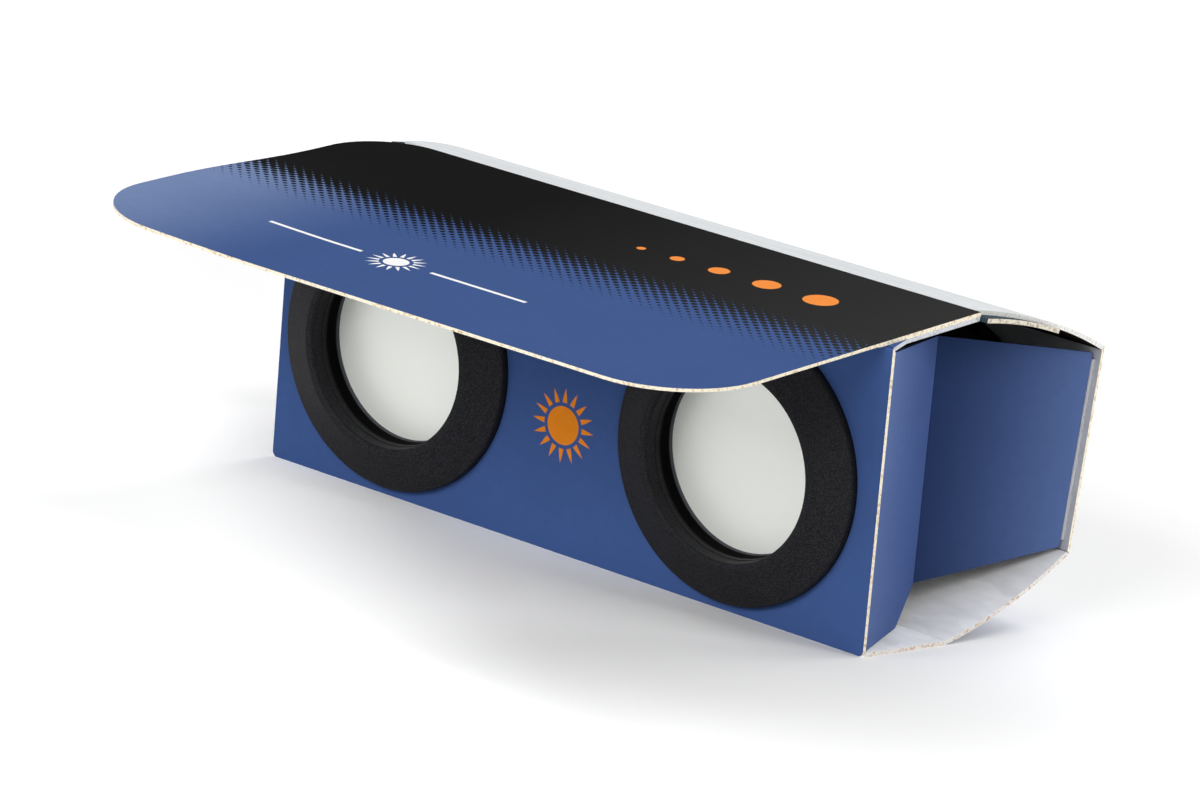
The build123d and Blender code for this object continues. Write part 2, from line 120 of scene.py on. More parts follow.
# The room: white round the horizon and greyer overhead, as it shows in gloss and behind
# the object. What it adds as plain light on the object is weaker and even.
room_light = 0.18
ceiling_grey = 0.35
ceiling_start, ceiling_full = 0.15, 0.45
world = bpy.data.worlds.new("white_studio")
world.use_nodes = True
bpy.context.scene.world = world
dome = world.node_tree
way = add(dome, "ShaderNodeTexCoord")
up = add(dome, "ShaderNodeSeparateXYZ", {0: way.outputs["Generated"]})
wall = add(dome, "ShaderNodeMapRange",
           {"Value": up.outputs["Z"], "From Min": ceiling_start, "From Max": ceiling_full,
            "To Min": 1.0, "To Max": ceiling_grey})
level = add(dome, "ShaderNodeMapRange",
            {"Value": seen_directly(dome), "To Min": room_light, "To Max": wall.outputs[0]})
sky = dome.nodes["Background"]
sky.inputs["Color"].default_value = linear("#ffffff")
dome.links.new(level.outputs[0], sky.inputs["Strength"])

# The sweep: matt white paint. What it lacks to pure white is lifted for the eye's rays
# alone, so the object keeps its shadow and gets no more light. All of it is in metres.
sweep_near, sweep_far = 0.12, 0.9
near_lift, far_lift = 0.05, 1.0
bpy.ops.mesh.primitive_plane_add(size=12)
floor = bpy.context.object
floor.name = "studio_floor"
floor_look = bpy.data.materials.new("matt_white_sweep")
floor_look.use_nodes = True
tree = floor_look.node_tree
paint = tree.nodes["Principled BSDF"]
paint.inputs["Roughness"].default_value = 0.9
paint.inputs["Specular IOR Level"].default_value = 0.0
paint.inputs["Emission Color"].default_value = linear("#ffffff")
here = add(tree, "ShaderNodeTexCoord").outputs["Object"]
away = add(tree, "ShaderNodeVectorMath", {"operation": "LENGTH", 0: here})
outlying = add(tree, "ShaderNodeMapRange",
               {"interpolation_type": "SMOOTHSTEP", "Value": away.outputs["Value"],
                "From Min": sweep_near, "From Max": sweep_far,
                "To Min": near_lift, "To Max": far_lift})
# On the front left, past a slanting line before the object, painted light for the eye's rays lifts
# the sweep nearly clear of its shadow
clear_way = (-0.6, -0.8, 0)
clear_start, clear_full = 0.022, 0.065
clear_low, clear_lift = 0.07, 0.48
aside = add(tree, "ShaderNodeVectorMath", {"operation": "DOT_PRODUCT", 0: here, 1: clear_way})
front_left_painted_light = add(tree, "ShaderNodeMapRange",
              {"interpolation_type": "SMOOTHSTEP", "Value": aside.outputs["Value"],
               "From Min": clear_start, "From Max": clear_full,
               "To Min": clear_low, "To Max": clear_lift})
fill = add(tree, "ShaderNodeMath",
           {"operation": "MAXIMUM", 0: outlying.outputs[0], 1: front_left_painted_light.outputs[0]})
lift = add(tree, "ShaderNodeMath",
           {"operation": "MULTIPLY", 0: seen_directly(tree), 1: fill.outputs[0]})
tree.links.new(lift.outputs[0], paint.inputs["Emission Strength"])
# Painted shadow: the paint is greyer in a soft round patch in front of the right end
patch_middle = (0.05, -0.03, 0)
patch_core, patch_rim = 0.015, 0.065
painted_shadow_grey, sweep_white = 0.68, 0.93
from_patch = add(tree, "ShaderNodeVectorMath",
                 {"operation": "DISTANCE", 0: here, 1: patch_middle})
floor_tone_with_painted_shadow = add(tree, "ShaderNodeMapRange",
            {"interpolation_type": "SMOOTHSTEP", "Value": from_patch.outputs["Value"],
             "From Min": patch_core, "From Max": patch_rim,
             "To Min": painted_shadow_grey, "To Max": sweep_white})
tree.links.new(floor_tone_with_painted_shadow.outputs[0], paint.inputs["Base Color"])
floor.data.materials.append(floor_look)

# Carton boards
# Solid bleached carton board, die-cut from one sheet, with crease lines. Printed blue outside, but
# pale at the back, with a matt ink that hardly shines, and bare inside. Under the roof the liner is
# painted near black as shade for the unlit inside of the carton. Its cut edges are cream with tan
# fibres. The CAD boards stay and get this look.
print_blue = "#3d5588"
liner_grey, liner_white = "#d9d9dc", "#f8f8f8"
# Painted shade: the roof's underside is near black, for the unlit inside of the carton
roof_underside_shade = "#17140f"
cut_cream, cut_tan = "#f1e8d3", "#c4a67c"
ink_gloss = 0.009

# Sizes of the board's patterns, in mm, and how softly a printed edge ends
ink_clouds, ink_mottle = 15.0, 1.5
ink_soft = 0.06
streak_pitch, streak_stretch = 1.6, 50
liner_patches, liner_facets = 7.0, 9.0
cut_grain = 0.45


def still_board(board_out, cut_way=(1, 0, 0), seen_inside=False):
    """How a board that doesn't bend tells its sides: by the surface's direction against the
    way that the board faces and the way that its cut edges face. The walls of a fold are
    printed, or bare on a board that is seen from inside."""
    edge_of_ink = 0.3 if seen_inside else -0.5

    def sides(tree):
        coordinates = add(tree, "ShaderNodeTexCoord")
        facing = add(tree, "ShaderNodeVectorMath",
                     {"operation": "DOT_PRODUCT",
                      0: coordinates.outputs["Normal"], 1: board_out})
        outer = add(tree, "ShaderNodeMapRange",
                    {"Value": facing.outputs["Value"],
                     "From Min": edge_of_ink, "From Max": edge_of_ink + 0.1})
        along = add(tree, "ShaderNodeVectorMath",
                    {"operation": "DOT_PRODUCT", 0: coordinates.outputs["Normal"], 1: cut_way})
        side_on = add(tree, "ShaderNodeMath", {"operation": "ABSOLUTE", 0: along.outputs["Value"]})
        was_cut = add(tree, "ShaderNodeMapRange",
                      {"Value": side_on.outputs[0], "From Min": 0.55, "From Max": 0.65})
        return coordinates.outputs["Object"], outer.outputs[0], was_cut.outputs[0]
    return sides


def printed_side(tree, here, ink, mottle, streaks):
    """The ink, which lies a little unevenly on the fibres, in clouds and mottle."""
    clouds = add(tree, "ShaderNodeTexNoise",
                 {"Vector": here, "Scale": 1 / (ink_clouds * mm), "Detail": 2.0})
    uneven = add(tree, "ShaderNodeMath",
                 {"operation": "MULTIPLY", 0: clouds.outputs["Fac"], 1: mottle})
    shade = add(tree, "ShaderNodeMapRange",
                {"Value": uneven.outputs[0], "From Min": 0.1, "From Max": 0.4,
                 "To Min": 0.96, "To Max": 1.04})
    colour = ink(tree, here) if callable(ink) else ink
    printed = add(tree, "ShaderNodeVectorMath",
                  {"operation": "SCALE", 0: colour, "Scale": shade.outputs[0]})
    if streaks:
        # Folding leaves streaks along the folds, half a pitch wide and much longer
        drawn = add(tree, "ShaderNodeMapping", {"Vector": here, "Scale": (1 / streak_stretch, 1, 1)})
        lines = add(tree, "ShaderNodeTexNoise",
                    {"Vector": drawn.outputs[0], "Scale": 1 / (streak_pitch * mm), "Detail": 3.0})
        bands = add(tree, "ShaderNodeMapRange",
                    {"Value": lines.outputs["Fac"], "From Min": 0.35, "From Max": 0.65,
                     "To Min": 1 - streaks, "To Max": 1.0})
        printed = add(tree, "ShaderNodeVectorMath",
                      {"operation": "SCALE", 0: printed.outputs[0], "Scale": bands.outputs[0]})
    return printed.outputs[0]


def bare_side(tree, here, lining, crumpled_facet_shade):
    """The liner, in soft patches drawn out aslant along the folds, and what makes its relief. Where
    asked, painted shade also makes flat facets lighter or darker."""
    stretched = add(tree, "ShaderNodeMapping",
                    {"Vector": here, "Scale": (1, 2.2, 2.2), "Rotation": (0, 0, 0.5)})
    patches = add(tree, "ShaderNodeTexNoise",
                  {"Vector": stretched.outputs[0], "Scale": 1 / (liner_patches * mm), "Detail": 4.0})
    bare = add(tree, "ShaderNodeMapRange",
               {"Value": patches.outputs["Fac"], "From Min": 0.3, "From Max": 0.7,
                "To Min": 0.9, "To Max": 1.06})
    lined = add(tree, "ShaderNodeVectorMath",
                {"operation": "SCALE", 0: lining, "Scale": bare.outputs[0]})
    if crumpled_facet_shade:
        # Painted shade: each flat facet of the liner is made lighter or darker, as light would fall
        # on it
        facets = add(tree, "ShaderNodeTexVoronoi",
                     {"Vector": stretched.outputs[0], "Scale": 1 / (liner_facets * mm)})
        tone = add(tree, "ShaderNodeSeparateColor", {0: facets.outputs["Color"]})
        painted_facet_shade = add(tree, "ShaderNodeMapRange",
                      {"Value": tone.outputs[0], "To Min": 1 - crumpled_facet_shade, "To Max": 1.0})
        lined = add(tree, "ShaderNodeVectorMath",
                    {"operation": "SCALE", 0: lined.outputs[0], "Scale": painted_facet_shade.outputs[0]})
    return lined.outputs[0], patches.outputs["Fac"]


def board_look(name, sides, ink, lining=liner_grey, cut=(cut_cream, cut_tan),
               crumpled_facet_shade=0.0, streaks=0.0):
    """A board's look: ink outside, liner inside, and torn fibres on the edges that were cut."""
    look = bpy.data.materials.new(name)
    look.use_nodes = True
    tree = look.node_tree
    board = tree.nodes["Principled BSDF"]
    here, outer, was_cut = sides(tree)
    mottle = add(tree, "ShaderNodeTexNoise",
                 {"Vector": here, "Scale": 1 / (ink_mottle * mm), "Detail": 3.0}).outputs["Fac"]
    printed = printed_side(tree, here, ink, mottle, streaks)
    lined, patches = bare_side(tree, here, lining, crumpled_facet_shade)
    grains = add(tree, "ShaderNodeTexNoise",
                 {"Vector": here, "Scale": 1 / (cut_grain * mm), "Detail": 2.0})
    torn = add(tree, "ShaderNodeMapRange",
               {"Value": grains.outputs["Fac"], "From Min": 0.5, "From Max": 0.72})
    edge = add(tree, "ShaderNodeMix",
               {"data_type": "RGBA", 0: torn.outputs[0], 6: cut[0], 7: cut[1]})
    faces = add(tree, "ShaderNodeMix", {"data_type": "RGBA", 0: outer, 6: lined, 7: printed})
    colour = add(tree, "ShaderNodeMix",
                 {"data_type": "RGBA", 0: was_cut, 6: faces.outputs[2], 7: edge.outputs[2]})
    tree.links.new(colour.outputs[2], board.inputs["Base Color"])
    # Ink seals the fibres, so the printed side is smoother
    dull = add(tree, "ShaderNodeMapRange", {"Value": outer, "To Min": 0.8, "To Max": 0.5})
    tree.links.new(dull.outputs[0], board.inputs["Roughness"])
    board.inputs["Specular IOR Level"].default_value = ink_gloss
    relief = add(tree, "ShaderNodeBump",
                 {"Height": patches if crumpled_facet_shade else mottle, "Strength": 0.25,
                  "Distance": (0.4 if crumpled_facet_shade else 0.05) * mm})
    tree.links.new(relief.outputs[0], board.inputs["Normal"])
    return look


def dress(look, *nodes):
    """Give CAD nodes a look."""
    for node in nodes:
        bpy.data.objects[node].material_slots[0].material = look


def spot(tree, flat, centre, radius):
    """The share of a round spot of the print, from its centre and radius in mm."""
    off = add(tree, "ShaderNodeVectorMath",
              {"operation": "DISTANCE", 0: flat, 1: (centre[0] * mm, centre[1] * mm, 0)})
    inside = add(tree, "ShaderNodeMapRange",
                 {"Value": off.outputs["Value"],
                  "From Min": (radius + ink_soft) * mm, "From Max": (radius - ink_soft) * mm})
    return inside.outputs[0]


def rayed_sun(tree, flat, centre, core, gap, reach):
    """The share of a plain sun in the print: a round core, and pointed rays from the gap
    about it out to its reach, all in mm."""
    rays = 16
    out = add(tree, "ShaderNodeVectorMath",
              {"operation": "SUBTRACT", 0: flat, 1: (centre[0] * mm, centre[1] * mm, 0)})
    axes = add(tree, "ShaderNodeSeparateXYZ", {0: out.outputs[0]})
    turn = add(tree, "ShaderNodeMath",
               {"operation": "ARCTAN2", 0: axes.outputs["Y"], 1: axes.outputs["X"]})
    step = add(tree, "ShaderNodeMath",
               {"operation": "MULTIPLY", 0: turn.outputs[0], 1: rays / (2 * math.pi)})
    tooth = add(tree, "ShaderNodeMath", {"operation": "PINGPONG", 0: step.outputs[0], 1: 0.5})
    away = add(tree, "ShaderNodeVectorMath", {"operation": "LENGTH", 0: out.outputs[0]})
    # A ray narrows from its foot to its point
    limit = add(tree, "ShaderNodeMapRange",
                {"clamp": False, "Value": away.outputs["Value"],
                 "From Min": gap * mm, "From Max": reach * mm, "To Min": 0.3, "To Max": 0.0})
    spare = add(tree, "ShaderNodeMath",
                {"operation": "SUBTRACT", 0: limit.outputs[0], 1: tooth.outputs[0]})
    pointed = add(tree, "ShaderNodeMapRange",
                  {"Value": spare.outputs[0], "From Min": -0.03, "From Max": 0.03})
    foot = add(tree, "ShaderNodeMapRange",
               {"Value": away.outputs["Value"],
                "From Min": (gap - ink_soft) * mm, "From Max": (gap + ink_soft) * mm})
    ray = add(tree, "ShaderNodeMath",
              {"operation": "MULTIPLY", 0: pointed.outputs[0], 1: foot.outputs[0]})
    whole = add(tree, "ShaderNodeMath",
                {"operation": "MAXIMUM", 0: ray.outputs[0], 1: spot(tree, flat, centre, core)})
    return whole.outputs[0]


def outward(angle):
    """The direction that a board faces, by its angle in degrees up from the back."""
    return Vector((0, math.cos(math.radians(angle)), math.sin(math.radians(angle))))


# In degrees: the front panel leans forward from upright, and the flap rises to the back
panel_lean, flap_slope = 7.5, 8.0
front_out = outward(180 + panel_lean)
roof_out = outward(90 + flap_slope)
back_roof_out = outward(78.9)
back_out = outward(1.2)
back_floor_out = outward(-68.2)
floor_out = outward(-90)

# Each fold line is where the record has its joint
fold_at = {joint["name"]: Vector(joint["pos_m"])
           for joint in frame["record"]["behaviour"]["joints"]}
panel_foot = fold_at["bottom_front_fold"]

# The front panel carries a plain orange sun between the bezels, in mm from its foot
sun_orange = "#e08321"
panel_sun = (-0.8, 19.4)
panel_sun_core, panel_sun_gap, panel_sun_reach = 2.9, 3.5, 5.6


def front_print(tree, here):
    """Blue, with the sun."""
    from_foot = add(tree, "ShaderNodeVectorMath",
                    {"operation": "SUBTRACT", 0: here, 1: panel_foot})
    up_panel = add(tree, "ShaderNodeVectorMath",
                   {"operation": "DOT_PRODUCT", 0: from_foot.outputs[0],
                    1: outward(90 + panel_lean)})
    axes = add(tree, "ShaderNodeSeparateXYZ", {0: here})
    flat = add(tree, "ShaderNodeCombineXYZ",
               {0: axes.outputs["X"], 1: up_panel.outputs["Value"]})
    sun = rayed_sun(tree, flat.outputs[0], panel_sun,
                    panel_sun_core, panel_sun_gap, panel_sun_reach)
    print_over = add(tree, "ShaderNodeMix",
                     {"data_type": "RGBA", 0: sun, 6: print_blue, 7: sun_orange})
    return print_over.outputs[2]


dress(board_look("printed_front_board", still_board(front_out), front_print), "front_panel")
dress(board_look("printed_roof_board", still_board(roof_out), print_blue,
                 lining=roof_underside_shade, cut=("#cdd0d6", "#a8a6a3")), "top_front_leaf")
dress(board_look("pale_roof_board", still_board(back_roof_out), "#dee1e3",
                 lining=roof_underside_shade, cut=("#e9e9e6", "#cfc7b8"), streaks=0.09), "top_back_leaf")
dress(board_look("printed_seam_board", still_board(back_roof_out), "#34444c",
                 lining=roof_underside_shade, cut=("#ded6c6", "#8f8474")), "seam_flap")
dress(board_look("pale_back_board", still_board(back_out), "#dfe3e5",
                 lining="#b2b4bb", streaks=0.04), "back_panel")
for name, board_out, node in (
        ("printed_back_floor_board", back_floor_out, "bottom_back_leaf"),
        ("printed_floor_board", floor_out, "bottom_front_leaf")):
    dress(board_look(name, still_board(board_out, seen_inside=True), print_blue,
                     lining=liner_white, cut=("#e6e2dc", "#c2926c"), crumpled_facet_shade=0.12), node)

# Cover flap
# The free end of the carton's strip: one flat sheet that is glued on the roof and reaches
# over the lenses. Printed in one pass: blue at the brim, black at the ridge, and a
# halftone of round dots between them. It replaces the two CAD boards of the flap.
board_thickness = 0.65
flap_crease = fold_at["flap_fold"] / mm
# The curl of the left tip pulls the sheet out to the brim's own left edge
curl_pull = 0.5
brim_low, brim_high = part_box("cover_flap_brim")
flap_left, flap_right = brim_low.x / mm + curl_pull, brim_high.x / mm
flap_front, flap_back = -44.37, 22.55
flap_corner, flap_back_corner = 14.5, 11.0
corner_steps = 14

# Places of the cuts at which the sheet can bend, with finer rows at the crease
grid_step = 4
grid_rows = [*range(-44, 21, grid_step), -7, -6, -5, -3, -2, -1, 1, 2, 3]
grid_columns = range(-56, 56, grid_step)


def round_corners(piece, chosen, radius):
    """Bevel a flat sheet's corners where chosen holds, to a radius in mm."""
    bpy.ops.object.mode_set(mode="EDIT")
    bpy.ops.mesh.select_mode(type="VERT")
    bpy.ops.mesh.select_all(action="DESELECT")
    bpy.ops.object.mode_set(mode="OBJECT")
    for vertex in piece.data.vertices:
        vertex.select = chosen(vertex.co)
    bpy.ops.object.mode_set(mode="EDIT")
    bpy.ops.mesh.bevel(affect="VERTICES", offset=radius * mm, segments=corner_steps)
    bpy.ops.object.mode_set(mode="OBJECT")


def cut_across(piece, point, normal):
    """Cut a line through all faces of a piece, so that it can bend there."""
    bpy.context.view_layer.objects.active = piece
    bpy.ops.object.mode_set(mode="EDIT")
    bpy.ops.mesh.select_all(action="SELECT")
    bpy.ops.mesh.bisect(plane_co=Vector(point) * mm, plane_no=normal)
    bpy.ops.object.mode_set(mode="OBJECT")


bpy.ops.object.select_all(action="DESELECT")
bpy.ops.mesh.primitive_plane_add(size=1)
flap = bpy.context.object
flap.name = "printed_cover_sheet"
flap.scale = ((flap_right - flap_left) * mm, (flap_back - flap_front) * mm, 1)
flap.location = ((flap_left + flap_right) / 2 * mm, (flap_front + flap_back) / 2 * mm, 0)
bpy.ops.object.transform_apply(location=True, rotation=True, scale=True)
# Both front corners are round, and so is the left back one
round_corners(flap, lambda corner: corner.y < 0, flap_corner)
round_corners(flap, lambda corner: corner.y > 0.02 and corner.x < 0, flap_back_corner)
for row in grid_rows:
    cut_across(flap, (0, row, 0), (0, 1, 0))
for column in grid_columns:
    cut_across(flap, (column, 0, 0), (1, 0, 0))
board = flap.modifiers.new("board", "SOLIDIFY")
board.thickness = board_thickness * mm
board.offset = -1
bpy.ops.object.modifier_apply(modifier=board.name)

# Each point keeps its place on the flat sheet, from which the print is read
kept = flap.data.attributes.new("sheet_place", "FLOAT_VECTOR", "POINT")
for at, vertex in enumerate(flap.data.vertices):
    kept.data[at].vector = vertex.co

# The brim is pressed a little thinner than the glued part
brim_thickness = 0.5
brim_limit = -1.5
for vertex in flap.data.vertices:
    if vertex.co.z < -0.1 * mm and vertex.co.y < brim_limit * mm:
        vertex.co.z = -brim_thickness * mm

# Its left tip curls up, the more so the further left and the further forward
curl_height = 0.95
curl_reach = 36
curl_start, curl_depth = 8, 30
for vertex in flap.data.vertices:
    sideways = min(max((flap_left + curl_reach - vertex.co.x / mm) / curl_reach, 0), 1)
    forward = min(max((curl_start - vertex.co.y / mm) / curl_depth, 0), 1)
    vertex.co.z += curl_height * mm * sideways ** 1.5 * forward * forward * (3 - 2 * forward)
    vertex.co.x -= curl_pull * mm * sideways ** 2 * forward
flap.data.transform(Matrix.Translation(flap_crease * mm)
                    @ Matrix.Rotation(math.radians(flap_slope), 4, "X"))

# The print, in mm on the sheet from its crease: x to the right, y to the back
halftone_start, halftone_full = -17.2, -1.0
dot_pitch = 1.8
# Painted sheen: the black greys towards the right, and the blue pales towards the left tip
flap_black, flap_black_sheen = "#060606", "#2a2a2a"
black_sheen_start, black_sheen_full = -20, 55
blue_sheen = "#7184ab"
blue_sheen_start, blue_sheen_full = -24, -62
# Plain motifs: dots that grow, on the black, and a white sun between fine lines, on the blue
flap_orange = "#f08f42"
growing_dots = (
    (5.0, 7.4, 0.7), (11.5, 7.6, 1.1), (19.0, 7.8, 1.6), (27.5, 8.0, 2.1), (37.0, 8.2, 2.6))
line_white = "#f4f4f4"
lower_sun = (-12.0, -27.0)
lower_sun_core, lower_sun_gap, lower_sun_reach = 1.9, 2.5, 4.4
line_start, line_end = 6.5, 24.0
line_half = 0.35


def halftone(tree, flat, y):
    """The share of black: round dots on a lattice at 45 degrees, which grow until they
    meet towards the ridge."""
    cell = dot_pitch / math.sqrt(2) * mm
    turned = add(tree, "ShaderNodeMapping",
                 {"Vector": flat, "Rotation": (0, 0, math.radians(45)),
                  "Scale": (1 / cell, 1 / cell, 1)})
    in_cell = add(tree, "ShaderNodeVectorMath", {"operation": "FRACTION", 0: turned.outputs[0]})
    from_middle = add(tree, "ShaderNodeVectorMath",
                      {"operation": "SUBTRACT", 0: in_cell.outputs[0], 1: (0.5, 0.5, 0)})
    away = add(tree, "ShaderNodeVectorMath", {"operation": "LENGTH", 0: from_middle.outputs[0]})
    # A dot as large as half a cell's diagonal leaves no blue
    dot_size = add(tree, "ShaderNodeMapRange",
                   {"clamp": False, "Value": y, "From Min": halftone_start * mm,
                    "From Max": halftone_full * mm, "To Min": 0.0, "To Max": 0.71})
    excess = add(tree, "ShaderNodeMath",
                 {"operation": "SUBTRACT", 0: dot_size.outputs[0], 1: away.outputs["Value"]})
    black_share = add(tree, "ShaderNodeMapRange",
                      {"Value": excess.outputs[0], "From Min": -0.03, "From Max": 0.03})
    return black_share.outputs[0]


def fine_lines(tree, axes):
    """The share of two fine lines, one each side of the lower sun."""
    aside = add(tree, "ShaderNodeMath",
                {"operation": "SUBTRACT", 0: axes.outputs["X"], 1: lower_sun[0] * mm})
    span = add(tree, "ShaderNodeMath", {"operation": "ABSOLUTE", 0: aside.outputs[0]})
    past = add(tree, "ShaderNodeMapRange",
               {"Value": span.outputs[0],
                "From Min": (line_start - 0.1) * mm, "From Max": (line_start + 0.1) * mm})
    within = add(tree, "ShaderNodeMapRange",
                 {"Value": span.outputs[0],
                  "From Min": (line_end + 0.1) * mm, "From Max": (line_end - 0.1) * mm})
    part = add(tree, "ShaderNodeMath",
               {"operation": "MULTIPLY", 0: past.outputs[0], 1: within.outputs[0]})
    height = add(tree, "ShaderNodeMath",
                 {"operation": "SUBTRACT", 0: axes.outputs["Y"], 1: lower_sun[1] * mm})
    off_line = add(tree, "ShaderNodeMath", {"operation": "ABSOLUTE", 0: height.outputs[0]})
    fine = add(tree, "ShaderNodeMapRange",
               {"Value": off_line.outputs[0],
                "From Min": (line_half + 0.05) * mm, "From Max": (line_half - 0.05) * mm})
    line = add(tree, "ShaderNodeMath",
               {"operation": "MULTIPLY", 0: part.outputs[0], 1: fine.outputs[0]})
    return line.outputs[0]


def flap_print(tree, here):
    """The flap's inks, one over another: blue, black and its halftone, and the motifs."""
    axes = add(tree, "ShaderNodeSeparateXYZ", {0: here})
    flat = add(tree, "ShaderNodeVectorMath",
               {"operation": "MULTIPLY", 0: here, 1: (1, 1, 0)}).outputs[0]
    # Painted sheen: the blue is paler towards the left tip, and the black greyer towards the right
    pale = add(tree, "ShaderNodeMapRange",
               {"interpolation_type": "SMOOTHSTEP", "Value": axes.outputs["X"],
                "From Min": blue_sheen_start * mm, "From Max": blue_sheen_full * mm})
    blue = add(tree, "ShaderNodeMix",
               {"data_type": "RGBA", 0: pale.outputs[0], 6: print_blue, 7: blue_sheen})
    black_sheen_share = add(tree, "ShaderNodeMapRange",
                 {"Value": axes.outputs["X"],
                  "From Min": black_sheen_start * mm, "From Max": black_sheen_full * mm})
    black = add(tree, "ShaderNodeMix",
                {"data_type": "RGBA", 0: black_sheen_share.outputs[0], 6: flap_black, 7: flap_black_sheen})
    inks = [(halftone(tree, flat, axes.outputs["Y"]), black.outputs[2])]
    inks += [(spot(tree, flat, (x, y), radius), flap_orange) for x, y, radius in growing_dots]
    inks.append((rayed_sun(tree, flat, lower_sun,
                           lower_sun_core, lower_sun_gap, lower_sun_reach), line_white))
    inks.append((fine_lines(tree, axes), line_white))
    colour = blue.outputs[2]
    for share, ink in inks:
        colour = add(tree, "ShaderNodeMix",
                     {"data_type": "RGBA", 0: share, 6: colour, 7: ink}).outputs[2]
    return colour


def bending_sheet(tree):
    """How the flap tells its sides: by each point's depth in the flat sheet."""
    own = add(tree, "ShaderNodeAttribute", {"attribute_name": "sheet_place"})
    depth = add(tree, "ShaderNodeSeparateXYZ", {0: own.outputs["Vector"]}).outputs["Z"]
    outer = add(tree, "ShaderNodeMapRange",
                {"Value": depth, "From Min": -0.02 * mm, "From Max": -0.005 * mm})
    not_under = add(tree, "ShaderNodeMapRange",
                    {"Value": depth, "From Min": (0.01 - board_thickness) * mm,
                     "From Max": (0.03 - board_thickness) * mm})
    was_cut = add(tree, "ShaderNodeMath",
                  {"operation": "SUBTRACT", 0: not_under.outputs[0], 1: outer.outputs[0]})
    return own.outputs["Vector"], outer.outputs[0], was_cut.outputs[0]


flap.data.materials.append(board_look("printed_flap_board_with_sheen", bending_sheet, flap_print))
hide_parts("cover_flap_base", "cover_flap_brim")
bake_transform(flap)

# Side gussets
# A strip of lighter board at each end, printed blue outside, glued by its tabs behind the front and
# back panels, and folded inward at a crease down its middle. Painted shade darkens its blue towards
# that crease.
front_leaf_crease_shade, front_leaf_pale = "#435789", "#576a98"
back_leaf_crease_shade, back_leaf_pale = "#27385e", "#516594"
gusset_cut = ("#39435c", "#2b3040")
tab_cut = ("#c3c5cb", "#b5b2ad")
# The painted shade on a front leaf is lightest here, in mm
front_leaf_end = -16.0
# A leaf faces its end of the viewer, and by this share also the leaf beyond the crease
leaf_slant = 0.4


def gusset_blue_and_crease_shade(near, far, deep, pale):
    """Blue with painted shade: darkest at a leaf's crease and paling to its far edge, by their places
    in y, in mm.
    """
    def ink(tree, here):
        axes = add(tree, "ShaderNodeSeparateXYZ", {0: here})
        share = add(tree, "ShaderNodeMapRange",
                    {"Value": axes.outputs["Y"], "From Min": near * mm, "From Max": far * mm})
        eased = add(tree, "ShaderNodeMath", {"operation": "POWER", 0: share.outputs[0], 1: 1.5})
        shaded = add(tree, "ShaderNodeMix",
                     {"data_type": "RGBA", 0: eased.outputs[0], 6: deep, 7: pale})
        return shaded.outputs[2]
    return ink


for side, hand in (("right", 1), ("left", -1)):
    lowest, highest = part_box(f"gusset_back_leaf_{side}")
    crease_y, tab_y = lowest.y / mm, highest.y / mm
    front_leaf_out = Vector((hand, leaf_slant, 0)).normalized()
    back_leaf_out = Vector((hand, -leaf_slant, 0)).normalized()
    dress(board_look(f"shaded_print_gusset_front_{side}", still_board(front_leaf_out, (0, 0, 1)),
                     gusset_blue_and_crease_shade(crease_y, front_leaf_end, front_leaf_crease_shade, front_leaf_pale),
                     cut=gusset_cut), f"gusset_front_leaf_{side}")
    dress(board_look(f"shaded_print_gusset_back_{side}", still_board(back_leaf_out, (0, 0, 1)),
                     gusset_blue_and_crease_shade(crease_y + 1, tab_y, back_leaf_crease_shade, back_leaf_pale),
                     cut=gusset_cut), f"gusset_back_leaf_{side}")
    dress(board_look(f"printed_front_tab_{side}", still_board(front_out), print_blue),
          f"gusset_front_tab_{side}")
    dress(board_look(f"printed_back_tab_{side}", still_board(back_out), print_blue,
                     cut=tab_cut), f"gusset_back_tab_{side}")

# Objective bezels and other mouldings
# Injection-moulded ABS, black, with a spark-eroded grain that shows as fine pale specks and a soft
# sheen. The bore is left rough by the tool, and painted shade makes it nearly black. A ring behind
# the front panel clamps each bezel in its hole.
bezel_black, bezel_speck = "#1a1a1c", "#2c2c30"
bore_painted_shade = "#020202"
ring_painted_reflection = "#55555a"
abs_gloss = 0.06
# The grain is about 0.1 mm on the real part, drawn here at 0.2 mm so that it shows
moulded_grain = 0.2
# Depths from the front panel's face, in mm: where the bore's painted shade starts, and its foot's
# ring of painted reflection
bore_start, bore_full = 0.7, -0.1
ring_start, ring_full = -1.9, -2.2


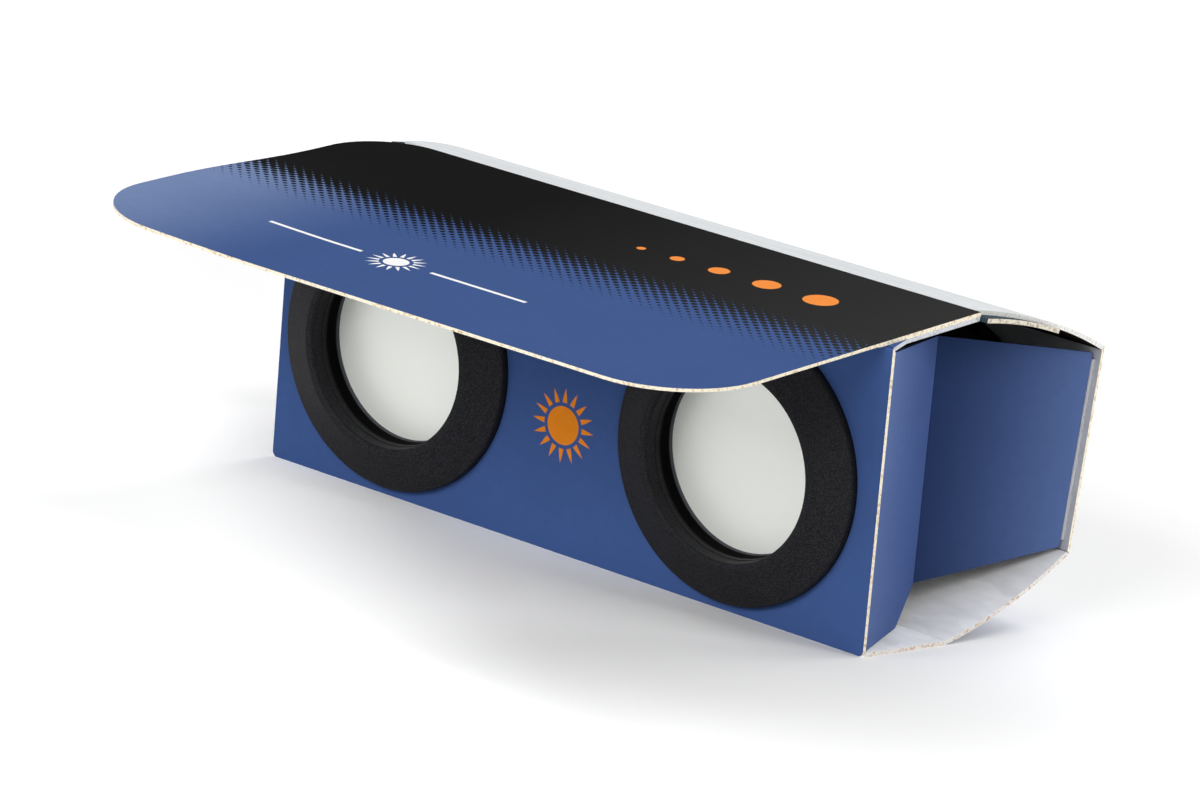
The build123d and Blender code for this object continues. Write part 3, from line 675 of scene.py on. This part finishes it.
def moulding_look(name, bored):
    """The grained black. A bored piece also gets its matt bore, darkened with painted shade, and a
    grey ring round the filter at the bore's foot, a painted reflection of the film."""
    look = bpy.data.materials.new(name)
    look.use_nodes = True
    tree = look.node_tree
    plastic = tree.nodes["Principled BSDF"]
    here = add(tree, "ShaderNodeTexCoord").outputs["Object"]
    grain = add(tree, "ShaderNodeTexNoise",
                {"Vector": here, "Scale": 1 / (moulded_grain * mm), "Detail": 2.0})
    specks = add(tree, "ShaderNodeMapRange",
                 {"Value": grain.outputs["Fac"], "From Min": 0.44, "From Max": 0.62})
    tone = add(tree, "ShaderNodeMix",
               {"data_type": "RGBA", 0: specks.outputs[0], 6: bezel_black, 7: bezel_speck})
    dull = add(tree, "ShaderNodeMapRange",
               {"Value": grain.outputs["Fac"], "To Min": 0.4, "To Max": 0.62})
    if bored:
        plane = add(tree, "ShaderNodeVectorMath", {"operation": "DOT_PRODUCT", 0: here, 1: front_out})
        panel_face = panel_foot.dot(front_out) / mm
        in_bore = add(tree, "ShaderNodeMapRange",
                      {"Value": plane.outputs["Value"],
                       "From Min": (panel_face + bore_start) * mm,
                       "From Max": (panel_face + bore_full) * mm})
        at_foot = add(tree, "ShaderNodeMapRange",
                      {"Value": plane.outputs["Value"],
                       "From Min": (panel_face + ring_start) * mm,
                       "From Max": (panel_face + ring_full) * mm})
        # Painted shade in the bore, and a painted reflection on the ring at its foot
        for share, colour in ((in_bore, bore_painted_shade), (at_foot, ring_painted_reflection)):
            tone = add(tree, "ShaderNodeMix",
                       {"data_type": "RGBA", 0: share.outputs[0], 6: tone.outputs[2], 7: colour})
        dull = add(tree, "ShaderNodeMath",
                   {"operation": "MAXIMUM", 0: dull.outputs[0], 1: in_bore.outputs[0]})
    tree.links.new(tone.outputs[2], plastic.inputs["Base Color"])
    tree.links.new(dull.outputs[0], plastic.inputs["Roughness"])
    plastic.inputs["Specular IOR Level"].default_value = abs_gloss
    relief = add(tree, "ShaderNodeBump",
                 {"Height": grain.outputs["Fac"], "Strength": 0.6, "Distance": 0.05 * mm})
    tree.links.new(relief.outputs[0], plastic.inputs["Normal"])
    return look


objective_look = moulding_look("moulded_black_abs_bored", True)
plain_look = moulding_look("moulded_black_abs", False)
for side in ("right", "left"):
    dress(objective_look, f"objective_bezel_{side}")
    dress(plain_look, f"lens_retaining_ring_{side}", f"bezel_clamp_ring_{side}",
          f"eyepiece_bezel_{side}", f"eyepiece_clamp_ring_{side}")

# Solar filters
# A disc of film, coated with metal like a mirror, behind each bezel's ledge. It is pale
# and slightly green where it shines back the white room, and uneven where it is slack.
film_pale, film_paler = "#f2f5ed", "#f8faf4"
film_waves = 18.0
film_look = bpy.data.materials.new("coated_solar_film")
film_look.use_nodes = True
tree = film_look.node_tree
film = tree.nodes["Principled BSDF"]
here = add(tree, "ShaderNodeTexCoord").outputs["Object"]
slack = add(tree, "ShaderNodeTexNoise",
            {"Vector": here, "Scale": 1 / (film_waves * mm), "Detail": 1.0})
tint = add(tree, "ShaderNodeMix",
           {"data_type": "RGBA", 0: slack.outputs["Fac"], 6: film_pale, 7: film_paler})
tree.links.new(tint.outputs[2], film.inputs["Base Color"])
film.inputs["Metallic"].default_value = 0.35
film.inputs["Roughness"].default_value = 0.45
relief = add(tree, "ShaderNodeBump",
             {"Height": slack.outputs["Fac"], "Strength": 0.15, "Distance": 0.3 * mm})
tree.links.new(relief.outputs[0], film.inputs["Normal"])
# Painted light: a little glow of its own brightens the film in the shaded bore
film.inputs["Emission Color"].default_value = linear("#e2e7df")
film.inputs["Emission Strength"].default_value = 0.06
dress(film_look, "solar_filter_right", "solar_filter_left")

# Lenses
# Moulded acrylic, clear and smooth, with an IOR of 1.49. An objective lens lies in the
# ring behind each filter, and an eyepiece lens in each eyepiece on the back panel.
acrylic = bpy.data.materials.new("clear_acrylic")
acrylic.use_nodes = True
clear = acrylic.node_tree.nodes["Principled BSDF"]
clear.inputs["Base Color"].default_value = linear("#fbfcfc")
clear.inputs["Roughness"].default_value = 0.02
clear.inputs["IOR"].default_value = 1.49
clear.inputs["Transmission Weight"].default_value = 1.0
for side in ("right", "left"):
    dress(acrylic, f"objective_lens_{side}", f"eyepiece_lens_{side}")
